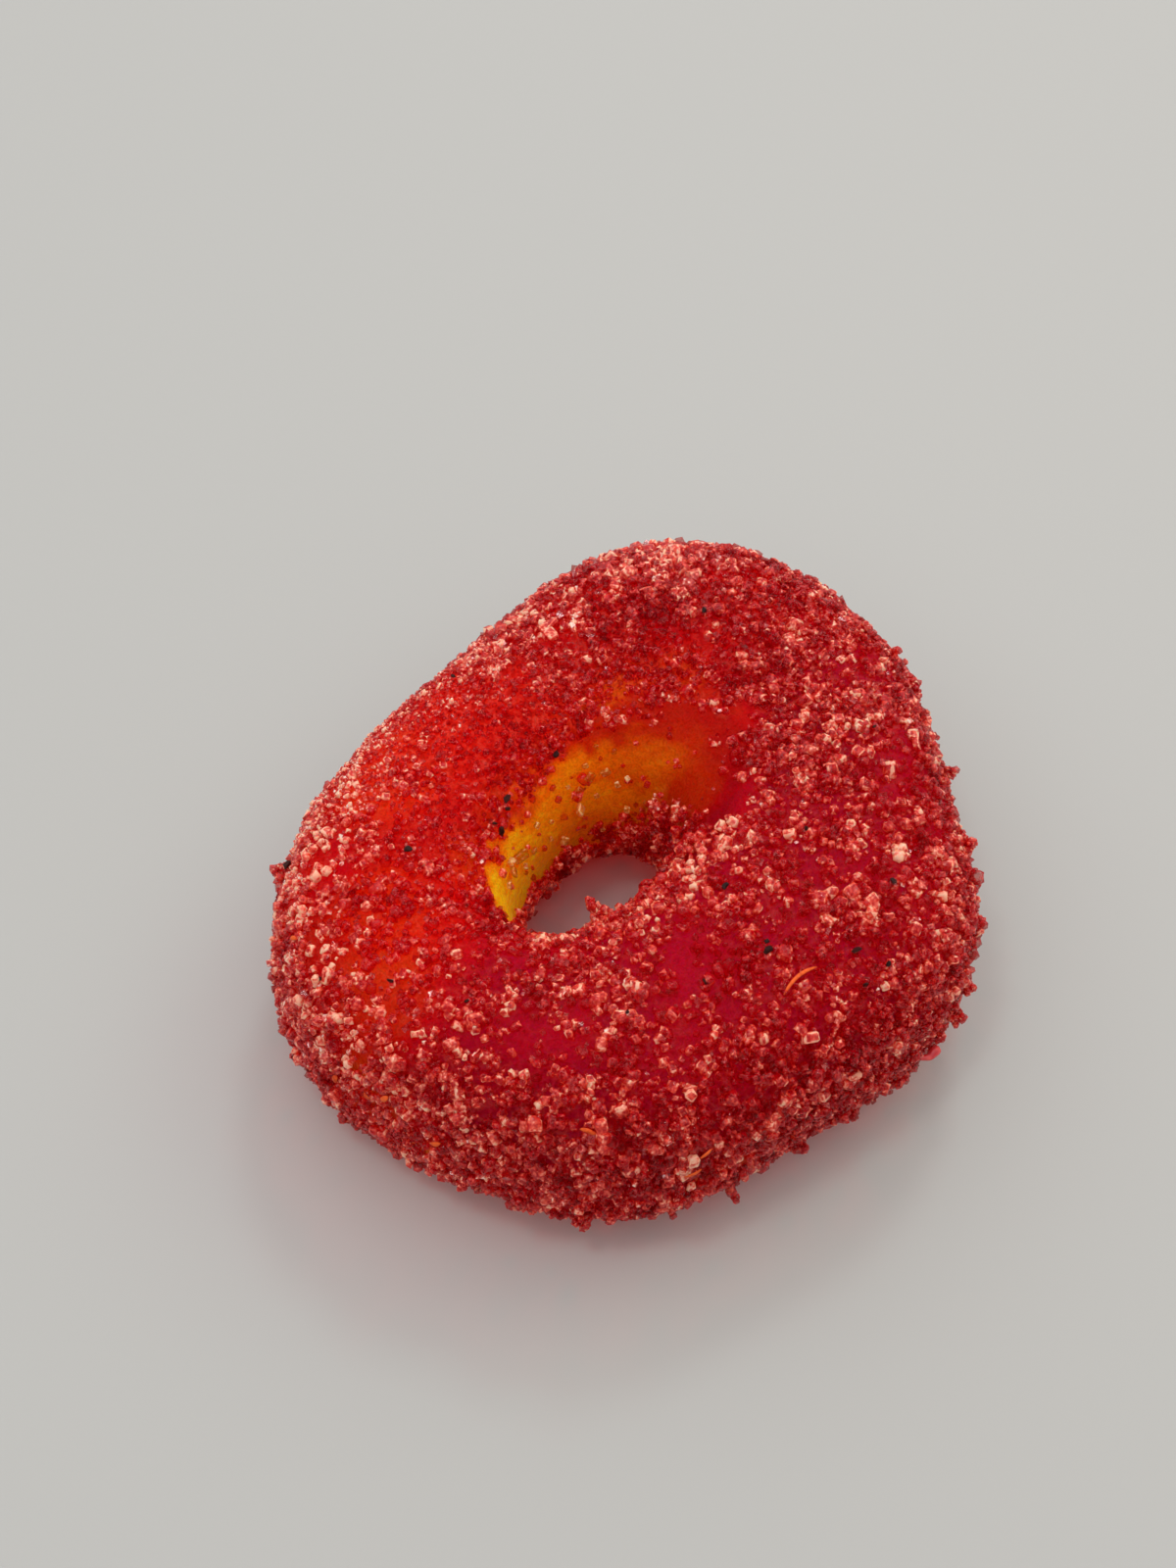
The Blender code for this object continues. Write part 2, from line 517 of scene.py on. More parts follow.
def cutCube(flat):
    # a cube with its edges and corners cut: 24 corners, each 1 out on one axis and flat on the other two
    return signed((1, flat, flat), (flat, 1, flat), (flat, flat, 1))


knockedCube = signed((1, 1, 0), (1, 0, 1), (0, 1, 1))  # its corners are cut to the middles of its edges
plainCube = signed((1, 1, 1))


def turnedFrames(normals, tilt, rng):
    # an orthogonal frame on each normal, leaned by a random tilt and spun at random
    axis = unit(normals + tilt * rng.normal(size=normals.shape))
    side = unit(np.cross(axis, rng.normal(size=normals.shape)))
    return np.stack([side, np.cross(axis, side), axis], 2)


def faceArea(corners, face):
    # half the length of the sum of the cross products of neighbouring corners, seen from the first one
    ring = corners[face]
    return np.linalg.norm(np.cross(ring - ring[0], np.roll(ring, -1, 0) - ring[0]).sum(0)) / 2


# painted light and shade on the grains' facets, which goes into their tone and so their colour
facetPaintedLight = {
    "byChance": 0.6,  # how much a facet's tone strays
    "narrow": 0.4,  # how much lighter the painted highlight on a narrow cut edge is
    "narrowBelow": 0.8,  # what counts as narrow, as a share of the widest facet
    "nearSofter": 0.25,  # how much less the painted facet light and shade differ on the near side
}


def joinGrains(name, kind, centres, frames, sizes, tones, rng):
    # every grain is the convex body of its kind's corners, dented at random, stretched by its three half
    # sizes, turned and placed
    corners, faces = crystalTemplate(kind["corners"])
    count, each = len(centres), len(corners)
    dents = 1 + kind["jitter"] * rng.uniform(-1, 1, (count, each, 3))
    local = corners[None] * dents * sizes[:, None, :]
    places = np.einsum("nij,nkj->nki", frames, local) + centres[:, None, :]
    sunk = np.minimum(places[..., 2].min(1), 0)  # nothing goes under the table
    places[..., 2] -= sunk[:, None]
    loop = np.concatenate([np.array(face) for face in faces])
    totals = np.tile([len(face) for face in faces], count)
    corner = (loop[None] + each * np.arange(count)[:, None]).ravel()
    # painted light and shade: each facet of a clear crystal gets a lighter or darker tone, and its narrow cut
    # edges mostly a painted highlight
    areas = np.array([faceArea(corners, face) for face in faces])
    narrow = (areas < areas.max() * facetPaintedLight["narrowBelow"]) * 1.0
    strays = facetPaintedLight["byChance"] * rng.uniform(0, 1, (count, len(faces)))
    paintedFacets = strays + facetPaintedLight["narrow"] * narrow - 0.5
    crisp = 1 - facetPaintedLight["nearSofter"] * smooth(toNear(centres), -7, 2)
    attributes = {"tone": np.repeat(tones, each), "facet": (paintedFacets * crisp[:, None]).ravel()}
    return meshFromFaces(name, places.reshape(-1, 3), corner, totals, kind["rounded"], attributes)


class Lattice:
    # the jelly's skin on a fine lattice, from which grains draw their places
    def __init__(self):
        self.turns, self.rolls = 900, 360
        turn = (np.arange(self.turns) + 0.5) / self.turns * 2 * np.pi
        roll = (np.arange(self.rolls) + 0.5) / self.rolls * 2 * np.pi
        turn, roll = np.meshgrid(turn, roll, indexing="ij")
        self.points, self.normals = jellySkin(turn, roll)
        along = (np.roll(self.points, -1, 0) - np.roll(self.points, 1, 0)) / 2
        across = (np.roll(self.points, -1, 1) - np.roll(self.points, 1, 1)) / 2
        self.area = np.linalg.norm(np.cross(along, across), axis=-1)
        self.cover = sugarCover(turn, roll, self.points, self.normals)

    def draw(self, count, cover, spacing, rng):
        # places by area and cover; one that falls too near an earlier one is left out
        weight = (self.area * cover).ravel()
        cell = rng.choice(weight.size, size=count, p=weight / weight.sum())
        i, j = np.divmod(cell, self.rolls)
        turn = (i + rng.uniform(0, 1, count)) / self.turns * 2 * np.pi
        roll = (j + rng.uniform(0, 1, count)) / self.rolls * 2 * np.pi
        points, normals = jellySkin(turn, roll)
        kept = keepApart(points, spacing)
        return points[kept], normals[kept]


def keepApart(points, spacing):
    # a place is dropped when a kept one before it is nearer than the spacing
    tree = KDTree(len(points))
    for number, point in enumerate(points):
        tree.insert(point, number)
    tree.balance()
    kept = np.ones(len(points), bool)
    for number, point in enumerate(points):
        if not kept[number]:
            continue
        for _, other, _ in tree.find_range(point, spacing):
            if other > number:
                kept[other] = False
    return kept


grainKinds = {
    # drawn: places tried. most: grains made. half: median half size in mm. spread: how sizes differ on a log
    # scale. spacing: mm between grains at least. sunk: how deep a grain sits in the jelly (1 is half way).
    # tilt: how much it leans. jitter: how dented it is. pale: what is added to its tone. offNearCrest: how
    # much rarer it is on the near crest. perched: the share that sits on others on the near side.
    "coarseSugar": {"drawn": 8500, "most": 4200, "half": 0.205, "spread": 0.22, "spacing": 0.36, "sunk": 0.85,
                    "tilt": 0.5, "jitter": 0.22, "rounded": True, "corners": cutCube(0.62), "pale": 0.05,
                    "offNearCrest": 0.0, "perched": 0.06, "seed": 101},
    "mediumSugar": {"drawn": 17000, "most": 9600, "half": 0.145, "spread": 0.25, "spacing": 0.22, "sunk": 0.6,
                    "tilt": 0.8, "jitter": 0.22, "rounded": True, "corners": knockedCube, "pale": 0.0,
                    "offNearCrest": 0.1, "perched": 0.12, "seed": 102},
    "fineSugar": {"drawn": 20000, "most": 15500, "half": 0.1, "spread": 0.3, "spacing": 0.1, "sunk": 0.3,
                  "tilt": 1.2, "jitter": 0.25, "rounded": False, "corners": plainCube, "pale": -0.05,
                  "offNearCrest": 0.5, "perched": 0.1, "seed": 103},
    "finestSugar": {"drawn": 20000, "most": 15500, "half": 0.07, "spread": 0.25, "spacing": 0.1, "sunk": 0.2,
                    "tilt": 1.2, "jitter": 0.25, "rounded": False, "corners": plainCube, "pale": 0.05,
                    "offNearCrest": 0.8, "perched": 0.1, "seed": 104},
}

# where the grains are paler or darker: turn, roll, radius in mm, and what is added to their tone
palePlaces = [
    (120, 32, 7, 0.3), (150, 22, 6, 0.2), (85, 35, 6, 0.18), (170, 35, 6, 0.08),
    (340, 95, 4.5, 0.08), (250, 130, 4, 0.16), (215, 130, 4, 0.12), (143, 60, 3.5, 0.16),
    (290, 42, 2.5, 0.12), (294, 125, 2.5, 0.15), (184, 65, 2.5, 0.12), (58, 70, 2.5, 0.14),
    (213, 90, 2, 0.12), (233, 61, 2, 0.1), (35, 50, 5, 0.14), (36, 98, 4, -0.2),
    (90, 112, 3.5, -0.2), (2, 93, 3, -0.16), (8, 70, 3, -0.14), (340, 106, 2.5, -0.14),
    (316, 45, 2.5, -0.14), (236, 35, 2.5, -0.16), (179, 42, 2.5, -0.14), (318, 68, 2, -0.12),
    (196, 12, 8, 0.08), (174, 25, 4, 0.12), (20, 98, 4, -0.1), (112, 92, 6.5, -0.12),
    (150, 88, 4.5, -0.1), (245, 92, 3, -0.2),
]

# where the grains are finer or coarser: turn, roll, radius in mm, and how much smaller they are
finePlaces = [
    (108, 88, 8, 0.2), (100, 20, 7, 0.3), (135, 12, 5, 0.2), (35, 58, 6.5, -0.25),
    (335, 75, 7, -0.14), (230, 60, 9, -0.1), (290, 60, 6, -0.1),
]

toning = {
    "groups": [(1.7, 0.35, 51), (0.8, 0.15, 52)],  # wavelength in mm, height, seed
    "fromGroup": 0.6,
    "fromChance": 0.45,
    "darker": 0.05,
    "nearDarker": 0.05,  # how much darker the grains' tone is towards the near side
}


def grainTone(points, pale, rng):
    # pale grains gather in small groups: part of a grain's tone comes from its place, the rest is chance
    group = withWaves(0.5, points, toning["groups"])
    chance = rng.uniform(0, 1, len(points))
    tone = toning["fromGroup"] * group + toning["fromChance"] * chance - toning["darker"] + pale
    tone = tone - toning["nearDarker"] * smooth(toNear(points), 0, 7)
    for share, added in placeShares(points, palePlaces, 0.4):
        tone = tone + added * share
    return tone.clip(0, 1)


def grainSizes(kind, count, rng):
    # half sizes in mm: a bell curve on a log scale, without its extremes
    return kind["half"] * np.exp(kind["spread"] * rng.normal(size=count)).clip(0.5, 1.8)


uneven = (0.72, 1.15)  # a grain's three half sizes are between these shares of its size


def makeSugar(name, lattice):
    # grains drawn by area and cover and sunk in the skin, a few of them on top of others
    kind = grainKinds[name]
    rng = np.random.default_rng(kind["seed"])
    cover = lattice.cover * (1 - kind["offNearCrest"] * nearCrest(lattice.points, lattice.normals))
    points, normals = lattice.draw(kind["drawn"], cover, kind["spacing"], rng)
    most = min(kind["most"], len(points))
    points, normals = points[:most], normals[:most]
    size = grainSizes(kind, most, rng)
    for share, smaller in placeShares(points, finePlaces, 0.5):
        size = size * (1 - smaller * share)
    sizes = size[:, None] * rng.uniform(*uneven, (most, 3))
    frames = turnedFrames(normals, kind["tilt"], rng)
    lift = size * (1 - kind["sunk"]) * rng.uniform(0.3, 1.5, most)
    perched = kind["perched"] * smooth(toNear(points), -8, 2)
    lift = lift + 1.1 * size * (rng.uniform(0, 1, most) < perched)
    centres = points + normals * lift[:, None]
    tones = grainTone(points, kind["pale"], rng)
    return joinGrains(name, kind, centres, frames, sizes, tones, rng)


# Sugar from deep red, where the syrup soaked it, to pale salmon, by a grain's tone. From its clearest to its
# milkiest grains a look goes from seen through to solid, and more so at facets seen on edge.
largeGrains = {
    "stops": [(0, "#A00016"), (0.5, "#C80A1A"), (0.76, "#EC5C44"), (1, "#FFC0A0")],
    "clearest": 0.04, "milkiest": 0.62, "rim": 0.62, "edge": 0.32, "paintedFacetShare": 0.6, "paintedFlecks": 1.1,
    "roughness": 0.12, "through": "#F4CCC8", "castsShadow": True,
}
smallGrains = {
    **largeGrains, "stops": [(0, "#90000A"), (0.55, "#B4060E"), (0.8, "#E8604C"), (1, "#FFD8C8")],
    "milkiest": 0.7, "rim": 0.5, "edge": 0.38, "paintedFacetShare": 0.65, "paintedFlecks": 1.2, "roughness": 0.2,
    "castsShadow": False,  # light passes only eight clear layers
}
sugarLooks = {
    "coarseSugar": largeGrains,
    "mediumSugar": {**largeGrains, "roughness": 0.15},
    "fineSugar": smallGrains,
    "finestSugar": {**smallGrains, "milkiest": 0.75, "paintedFacetShare": 0.7, "paintedFlecks": 1.1},
    "amberCrystals": {
        "stops": [(0, "#8C3C08"), (0.5, "#B8600C"), (0.8, "#D09038"), (1, "#F4D8A0")],
        "clearest": 0.05, "milkiest": 0.5, "rim": 0.3, "edge": 0.3, "paintedFacetShare": 0.5, "paintedFlecks": 1.0,
        "roughness": 0.15, "through": "#F8F0D8",
    },
}


def sugarMaterial(name, look):
    # granulated sugar wetted by red syrup: the eye sees the jelly through most crystals, a milky pink body
    # in some, pale rims where a facet turns away, and small white glints
    material, tree = newMaterial(name)
    place = addNode(tree, "TexCoord", {}).outputs["Object"]
    own, facet = [
        addNode(tree, "Attribute", {"attribute_name": name}).outputs["Fac"]
        for name in ("tone", "facet")]
    # painted light and shade: bright and dark flecks of 0.2 mm stand in for light bent inside a crystal
    fleck = addNode(tree, "TexNoise", {"Scale": 5 / mm, "Detail": 1, "Vector": place})
    paintedFlecks = addNode(tree, "Math", {
        "operation": "MULTIPLY_ADD", 0: fleck, 1: look["paintedFlecks"], 2: -look["paintedFlecks"] / 2})
    flecked = addNode(tree, "Math", {"operation": "ADD", 0: own, 1: paintedFlecks})
    # the painted facet light and shade joins the grain's tone, and so its colour
    tone = addNode(tree, "Math", {
        "operation": "MULTIPLY_ADD", "use_clamp": True, 0: facet, 1: look["paintedFacetShare"], 2: flecked})
    colour = addNode(tree, "ValToRGB", {"Fac": tone, "stops": look["stops"]})
    milky = addNode(tree, "MapRange", {
        "From Min": 0.1, "From Max": 0.9, "To Min": look["clearest"], "To Max": look["milkiest"],
        "Value": tone})
    facing = addNode(tree, "LayerWeight", {"Blend": look["edge"]}).outputs["Facing"]
    solid = addNode(tree, "Math", {
        "operation": "MULTIPLY_ADD", "use_clamp": True, 0: facing, 1: look["rim"], 2: milky})
    surface = addNode(tree, "BsdfPrincipled", {
        "Base Color": colour, "Roughness": look["roughness"], "IOR": 1.54, "Specular IOR Level": 0.35,
        "Coat Weight": 0.45, "Coat Roughness": 0.05,
        "Subsurface Weight": 1.0, "Subsurface Scale": 0.25 * mm, "Subsurface Radius": (1.0, 0.4, 0.3)})
    through = addNode(tree, "BsdfTransparent", {"Color": linear(look["through"])})
    mixed = addNode(tree, "MixShader", {0: solid, 1: through, 2: surface})
    addNode(tree, "OutputMaterial", {"Surface": lampsThrough(tree, mixed, "#FF9080")})
    return material


sugarClumps = {
    "half": 0.125, "spread": 0.28, "corners": knockedCube, "jitter": 0.22, "rounded": True, "seed": 105,
    # little heaps that stand out: turn, roll, grains, width and height in mm, tone
    "heaps": [
        (324, 22, 20, 0.3, 0.7, 0.45), (309, 22, 26, 0.4, 0.55, 0.5), (294, 30, 10, 0.2, 0.55, 0.2),
        (284, 355, 34, 0.45, 0.75, 0.5), (288, 0, 22, 0.4, 0.65, 0.5), (279, 357, 14, 0.35, 0.5, 0.4),
        (212, 337, 22, 0.35, 0.65, 0.5), (211, 341, 12, 0.25, 0.6, 0.45), (226, 353, 22, 0.4, 0.55, 0.55),
        (236, 338, 9, 0.1, 1, 0.5), (251, 339, 14, 0.3, 0.55, 0.4), (262, 339, 14, 0.3, 0.55, 0.4),
        (134, 18, 24, 0.38, 0.6, 0.6), (342, 29, 14, 0.3, 0.5, 0.5), (188, 350, 14, 0.3, 0.5, 0.45),
        (202, 351, 14, 0.3, 0.5, 0.45), (156, 358, 14, 0.3, 0.5, 0.5), (10, 58, 12, 0.3, 0.4, 0.5),
        (354, 47, 12, 0.3, 0.4, 0.5), (26, 85, 12, 0.3, 0.35, 0.5), (303, 25, 10, 0.25, 0.5, 0.4),
        (300, 140, 22, 0.38, 0.55, 0.6), (292, 142, 26, 0.4, 0.6, 0.6), (231, 120, 16, 0.35, 0.4, 0.55),
        (229, 129, 14, 0.3, 0.4, 0.55), (222, 130, 12, 0.25, 0.4, 0.5), (220, 147, 18, 0.25, 0.8, 0.6),
        (216, 146, 26, 0.2, 1.3, 0.65), (263, 155, 18, 0.38, 0.4, 0.5), (250, 140, 14, 0.3, 0.4, 0.5),
        (160, 100, 12, 0.3, 0.3, 0.5), (215, 100, 12, 0.3, 0.3, 0.55), (198, 95, 10, 0.3, 0.25, 0.55),
    ],
    "smallHeaps": 110,  # more of them, by chance, round the near outline, between these two
    "smallLow": (150, -30, 4, 0.12, 0.25, 0.3),
    "smallHigh": (350, 45, 10, 0.28, 0.6, 0.6),
}


def makeClumps():
    # Grain n of N in a heap stands height * n / N out from the skin and off the heap's middle by
    # width * (1 - n / N)^0.7 times a random step, so a heap narrows upwards.
    rng = np.random.default_rng(sugarClumps["seed"])
    draws = [rng.uniform] * 6
    draws[2] = rng.integers  # a heap has a whole number of grains
    limits = zip(draws, sugarClumps["smallLow"], sugarClumps["smallHigh"])
    small = np.stack([draw(low, high, sugarClumps["smallHeaps"]) for draw, low, high in limits], 1)
    heaps = np.concatenate([np.array(sugarClumps["heaps"], float), small])
    grains = heaps[:, 2].astype(int)
    each = heaps[np.repeat(np.arange(len(heaps)), grains)]
    turns, rolls, grainCounts, widths, heights, tones = each.T
    rank = (np.arange(grains.sum()) - np.repeat(np.cumsum(grains) - grains, grains)) / grainCounts
    points, normals = jellySkin(np.radians(turns), np.radians(rolls))
    steps = rng.normal(size=(len(each), 3)) * (widths * (1 - rank) ** 0.7)[:, None]
    steps[:, 2] = heights * rank + 0.1
    centres = points + np.einsum("nij,nj->ni", turnedFrames(normals, 0, rng), steps)
    size = grainSizes(sugarClumps, len(each), rng)
    sizes = size[:, None] * rng.uniform(*uneven, (len(each), 3))
    tones = (tones + 0.45 * rng.uniform(-0.5, 0.5, len(each))).clip(0, 1)
    frames = turnedFrames(normals, 1.2, rng)
    return joinGrains("sugarClumps", sugarClumps, centres, frames, sizes, tones, rng)


# standsOff: mm off the skin
crystalShape = {"corners": cutCube(0.68), "jitter": 0.15, "rounded": True, "standsOff": 0.12, "tilt": 0.25}

bigCrystals = {
    **crystalShape, "seed": 106,
    # single large crystals and flat flakes: turn, roll, length, width and thickness in mm, tone
    "crystals": [
        (61, 82, 1.3, 0.6, 0.25, 0.75), (60, 79, 0.8, 0.5, 0.2, 0.7), (219, 44, 0.6, 0.4, 0.18, 0.55),
        (227, 41, 0.5, 0.38, 0.18, 0.55), (206, 39, 0.6, 0.4, 0.18, 0.5), (228, 14, 0.62, 0.5, 0.4, 0.95),
        (228, 359, 0.4, 0.34, 0.3, 0.95), (239, 12, 0.4, 0.34, 0.3, 0.9), (253, 44, 0.85, 0.5, 0.45, 0.85),
        (279, 86, 0.6, 0.5, 0.3, 0.6), (284, 80, 0.7, 0.55, 0.3, 0.65), (284, 73, 0.6, 0.5, 0.3, 0.7),
        (283, 53, 0.6, 0.5, 0.3, 0.6), (310, 67, 0.5, 0.4, 0.3, 0.6), (326, 50, 0.6, 0.5, 0.3, 0.65),
        (324, 79, 0.6, 0.5, 0.3, 0.65), (320, 88, 0.6, 0.5, 0.3, 0.65), (334, 83, 0.6, 0.45, 0.3, 0.7),
        (226, 53, 0.5, 0.45, 0.2, 0.6), (84, 188, 0.35, 0.3, 0.25, 0.9), (82, 151, 0.36, 0.3, 0.2, 0.2),
        (84, 143, 0.3, 0.22, 0.2, 0.2), (8, 158, 0.34, 0.28, 0.2, 0.25), (12, 156, 0.25, 0.2, 0.2, 0.4),
    ],
}

amberCrystals = {
    **crystalShape, "seed": 108,
    # clear crystals on the hole's bare wall, which take its yellow, in the same numbers
    "crystals": [
        (60, 166, 0.6, 0.42, 0.25, 0.9), (80, 176, 0.45, 0.4, 0.25, 0.75), (135, 153, 0.8, 0.5, 0.22, 0.45),
        (146, 152, 0.55, 0.45, 0.22, 0.6), (142, 148, 0.4, 0.35, 0.2, 0.8), (50, 153, 0.7, 0.5, 0.2, 0.6),
        (38, 154, 0.5, 0.4, 0.2, 0.65), (22, 158, 0.25, 0.22, 0.18, 0.95), (18, 173, 0.4, 0.28, 0.2, 0.8),
        (28, 161, 0.32, 0.26, 0.2, 0.6), (54, 146, 0.3, 0.26, 0.2, 0.7), (36, 182, 0.3, 0.26, 0.2, 0.7),
        (34, 145, 0.32, 0.25, 0.18, 0.3), (110, 151, 0.32, 0.26, 0.2, 0.7), (123, 160, 0.36, 0.3, 0.2, 0.6),
        (154, 152, 0.35, 0.3, 0.2, 0.85), (136, 161, 0.32, 0.3, 0.2, 0.75), (60, 156, 0.4, 0.3, 0.18, 0.55),
        (44, 164, 0.28, 0.24, 0.18, 0.6), (96, 157, 0.26, 0.22, 0.18, 0.6), (70, 150, 0.24, 0.2, 0.16, 0.7),
        (100, 166, 0.24, 0.2, 0.16, 0.65), (46, 140, 0.22, 0.2, 0.16, 0.5), (5, 166, 0.24, 0.2, 0.16, 0.4),
    ],
}


def makeCrystals(name, kind):
    rng = np.random.default_rng(kind["seed"])
    rows = np.array(kind["crystals"], float)
    points, normals = jellySkin(np.radians(rows[:, 0]), np.radians(rows[:, 1]))
    centres = points + normals * (kind["standsOff"] + rows[:, 4] / 2)[:, None]
    frames = turnedFrames(normals, kind["tilt"], rng)
    sizes, tones = rows[:, 2:5] / 2, rows[:, 5]
    return joinGrains(name, kind, centres, frames, sizes, tones, rng)


darkSpecks = {
    "corners": knockedCube, "jitter": 0.35, "rounded": False, "standsOff": 0.16, "tilt": 0.5, "seed": 107,
    "shape": (1.0, 0.75, 0.45),  # width and thickness against length
    # turn, roll and half length in mm
    "specks": [
        (114, 126, 0.2), (130, 133, 0.22), (142, 93, 0.17), (134, 25, 0.2), (170, 71, 0.17), (269, 109, 0.16),
        (258, 83, 0.2), (272, 65, 0.2), (240, 85, 0.15), (220, 85, 0.13), (268, 51, 0.13), (74, 130, 0.17),
        (274, 52, 0.14), (290, 69, 0.15), (128, 128, 0.12), (118, 130, 0.12), (260, 86, 0.1), (300, 95, 0.1),
        (20, 88, 0.12), (48, 95, 0.1), (185, 82, 0.1), (160, 45, 0.12), (330, 70, 0.1), (88, 60, 0.1),
    ],
}


def makeSpecks():
    # flat chips caught on top of the sugar
    rng = np.random.default_rng(darkSpecks["seed"])
    rows = np.array(darkSpecks["specks"], float)
    points, normals = jellySkin(np.radians(rows[:, 0]), np.radians(rows[:, 1]))
    centres = points + normals * (darkSpecks["standsOff"] + rows[:, 2] / 2)[:, None]
    sizes = rows[:, 2:3] * np.array(darkSpecks["shape"])
    tones = rng.uniform(0, 1, len(rows))
    frames = turnedFrames(normals, darkSpecks["tilt"], rng)
    return joinGrains("darkSpecks", darkSpecks, centres, frames, sizes, tones, rng)


def chipMaterial(name, dark, light):
    # dry bits among the sugar: matt, a little mottled over 0.2 mm, each bit a shade of its own
    material, tree = newMaterial(name)
    place = addNode(tree, "TexCoord", {}).outputs["Object"]
    own = addNode(tree, "Attribute", {"attribute_name": "tone"}).outputs["Fac"]
    mottle = addNode(tree, "TexNoise", {"Scale": 6 / mm, "Detail": 2, "Vector": place})
    shade = addNode(tree, "Math", {"operation": "MULTIPLY_ADD", 0: own, 1: 0.5, 2: mottle})
    colour = addNode(tree, "ValToRGB", {"Fac": shade, "stops": [(0.3, dark), (0.9, light)]})
    surface = addNode(tree, "BsdfPrincipled", {
        "Base Color": colour, "Roughness": 0.5, "Specular IOR Level": 0.12})
    addNode(tree, "OutputMaterial", {"Surface": surface})
    return material


def strandPiece(name, paths, ups, halfWidths, halfThicknesses, tones):
    # Closed strands: at each step of a path an ellipse, half width * cos(a) sideways and half thickness *
    # sin(a) up, with a flat cap at each end. paths and ups are strands x steps x 3, the rest strands x steps.
    strands, steps = halfWidths.shape
    corners = 8
    angle = np.arange(corners) / corners * 2 * np.pi
    ahead = unit(np.gradient(paths, axis=1))
    side = unit(np.cross(ups, ahead))
    up = np.cross(ahead, side)
    across = (halfWidths[..., None] * np.cos(angle))[..., None] * side[:, :, None]
    along = (halfThicknesses[..., None] * np.sin(angle))[..., None] * up[:, :, None]
    points = paths[:, :, None] + across + along
    number = np.arange(strands * steps * corners).reshape(strands, steps, corners)
    beside = np.roll(number, -1, 2)
    quads = np.stack([number[:, :-1], beside[:, :-1], beside[:, 1:], number[:, 1:]], -1).reshape(-1)
    caps = np.concatenate([number[:, 0, ::-1].ravel(), number[:, -1].ravel()])
    totals = np.concatenate([np.full(len(quads) // 4, 4), np.full(strands * 2, corners)])
    attributes = {"tone": np.repeat(tones, steps * corners)}
    loops = np.concatenate([quads, caps])
    return meshFromFaces(name, points.reshape(-1, 3), loops, totals, True, attributes)


orangeFlakes = {
    "steps": 14, "halfThickness": 0.035, "standsOff": 0.08,
    # turn, roll, length, width in mm, heading in degrees off the way round the ring, arch and bow in mm
    "flakes": [
        (258, 67, 2.1, 0.17, 8, 0.22, 0.22), (179, 17, 0.55, 0.28, 60, 0.1, 0.05),
        (170, 8, 0.6, 0.3, 80, 0.1, 0.05), (188, 5, 0.65, 0.3, 40, 0.12, 0.1),
        (228, 7, 0.8, 0.24, 15, 0.12, 0.1), (212, 36, 0.9, 0.2, -20, 0.12, 0.15),
        (230, 16, 0.6, 0.2, 30, 0.1, 0.1), (176, 12, 0.4, 0.25, -30, 0.1, 0.05),
        (151, 40, 0.5, 0.2, 50, 0.1, 0.05),
    ],
}


def skinPath(turnDegrees, rollDegrees, length, heading, bow, steps):
    # a line over the skin through a place: turn and roll grow evenly, at the pace of the skin there,
    # and roll bows out by bow * (1 - (2 s - 1)^2) besides
    turn, roll = math.radians(turnDegrees), math.radians(rollDegrees)
    step = 1e-3
    alongPace = np.linalg.norm(coatSkin(turn + step, roll) - coatSkin(turn - step, roll)) / step / 2
    acrossPace = np.linalg.norm(coatSkin(turn, roll + step) - coatSkin(turn, roll - step)) / step / 2
    way = np.linspace(-0.5, 0.5, steps) * length
    turns = turn + way * math.cos(math.radians(heading)) / alongPace
    sideways = bow * (1 - np.linspace(-1, 1, steps) ** 2)
    rolls = roll + (way * math.sin(math.radians(heading)) + sideways) / acrossPace
    return coatSkin(turns, rolls), outward(turns, rolls)


def makeFlakes():
    # curled shreds that arch over the sugar: arch * (1 - (2 s - 1)^2) high, and narrower towards both ends
    steps = orangeFlakes["steps"]
    part = np.linspace(0, 1, steps)
    rows = np.array(orangeFlakes["flakes"], float)
    lines = [skinPath(row[0], row[1], row[2], row[4], row[6], steps) for row in rows]
    paths, ups = np.swapaxes(lines, 0, 1)
    rise = orangeFlakes["standsOff"] + rows[:, 5:6] * (1 - (2 * part - 1) ** 2)
    paths = paths + ups * rise[..., None]
    halfWidths = rows[:, 3:4] / 2 * np.sqrt(1.05 - np.abs(2 * part - 1) ** 3)
    halfThicknesses = np.full_like(halfWidths, orangeFlakes["halfThickness"])
    tones = 0.5 + 0.4 * np.sin(np.arange(len(rows)) * 2.4)
    return strandPiece("orangeFlakes", paths, ups, halfWidths, halfThicknesses, tones)


syrupDrip = {
    "turn": 276.5, "roll": 352, "length": 1.2, "heading": 12,  # on the low near slope, along the ring
    "steps": 16, "neck": 0.14, "bulb": 0.27, "standsOut": 0.42,  # mm
}


def makeDrip():
    # a run of syrup that leaves the skin at one end and swells to a bulb at the other
    drip = syrupDrip
    part = np.linspace(0, 1, drip["steps"])
    points, ups = skinPath(drip["turn"], drip["roll"], drip["length"], drip["heading"], 0, drip["steps"])
    points = points + ups * (drip["standsOut"] * smooth(part, 0, 0.5) - 0.1)[:, None]
    radius = drip["neck"] + (drip["bulb"] - drip["neck"]) * smooth(part, 0.2, 0.8)
    radius = radius * np.sqrt(np.clip(1.02 - np.clip((part - 0.8) / 0.2, 0, 1) ** 2, 0, 1))
    return strandPiece("syrupDrip", points[None], ups[None], radius[None], radius[None], np.array([0.5]))


